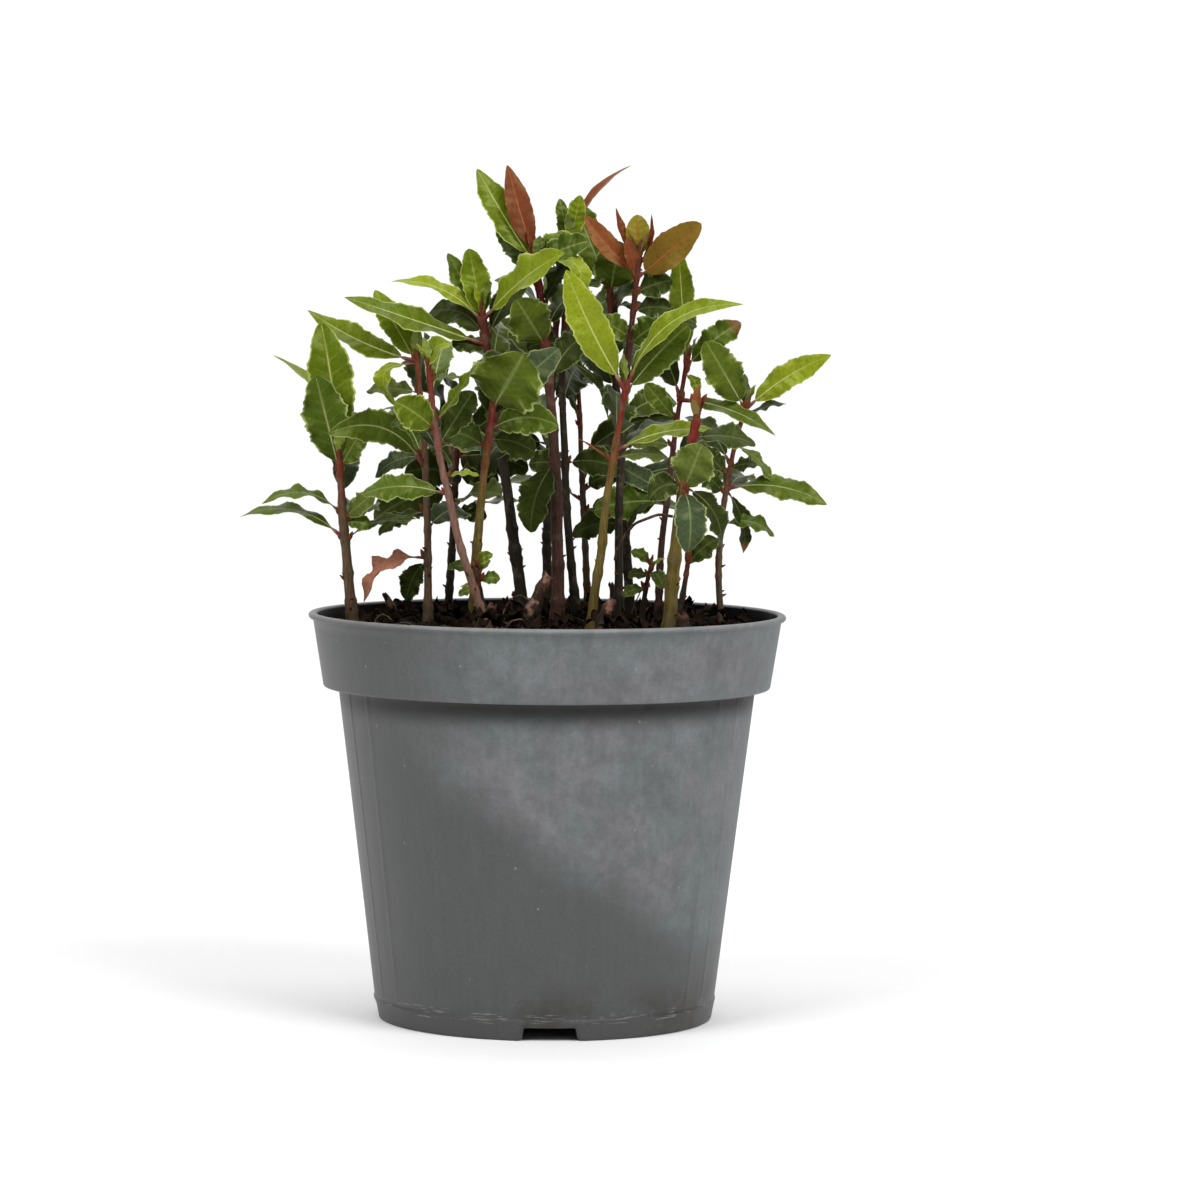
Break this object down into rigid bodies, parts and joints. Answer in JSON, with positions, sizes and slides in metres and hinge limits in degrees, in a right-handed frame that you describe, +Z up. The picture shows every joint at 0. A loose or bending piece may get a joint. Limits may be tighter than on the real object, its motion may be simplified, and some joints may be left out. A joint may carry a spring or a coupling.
{
  "type": "potted bay laurel shrub",
  "caption": "Young bay laurel shrub: a clump of slim leafy stems standing in dark soil in a round, tapered grey nursery pot with a collar, a lip and drain notches at its foot.",
  "frame": {"origin": "on the ground, under the middle of the whole plant's bounding box; the pot's axis stands 5.7 mm to its right", "axes": "+Z up, +X to the right as the picture shows it, +Y away from the viewer"},
  "size_m": [0.235, 0.1904, 0.3429],
  "materials": {
    "pot": "dusty grey moulded plastic",
    "soil": "moist dark potting soil",
    "stem": "thin brown and green bark",
    "foliage": "glossy green leaves"
  },
  "bodies": {
    "root": {"pot": "pot", "soil": "soil", "stem_far_left": "stem", "foliage_far_left": "foliage", "stem_left": "stem", "foliage_left": "foliage", "stem_left_back": "stem", "foliage_left_back": "foliage", "stem_left_front": "stem", "foliage_left_front": "foliage", "stem_centre_left_front": "stem", "foliage_centre_left_front": "foliage", "stem_centre_left": "stem", "foliage_centre_left": "foliage", "stem_centre": "stem", "foliage_centre": "foliage", "stem_centre_back": "stem", "foliage_centre_back": "foliage", "stem_centre_right_back": "stem", "foliage_centre_right_back": "foliage", "stem_back": "stem", "foliage_back": "foliage", "stem_right_front": "stem", "foliage_right_front": "foliage", "stem_right_top": "stem", "foliage_right_top": "foliage", "stem_right_back": "stem", "foliage_right_back": "foliage", "stem_right": "stem", "foliage_right": "foliage", "stem_right_woody": "stem", "foliage_right_woody": "foliage", "stem_right_short": "stem", "foliage_right_short": "foliage", "stem_far_right": "stem", "foliage_far_right": "foliage", "stem_low_left": "stem", "foliage_low_left": "foliage", "stem_low_right": "stem", "foliage_low_right": "foliage", "stem_old_stub": "stem"}
  },
  "joints": []
}
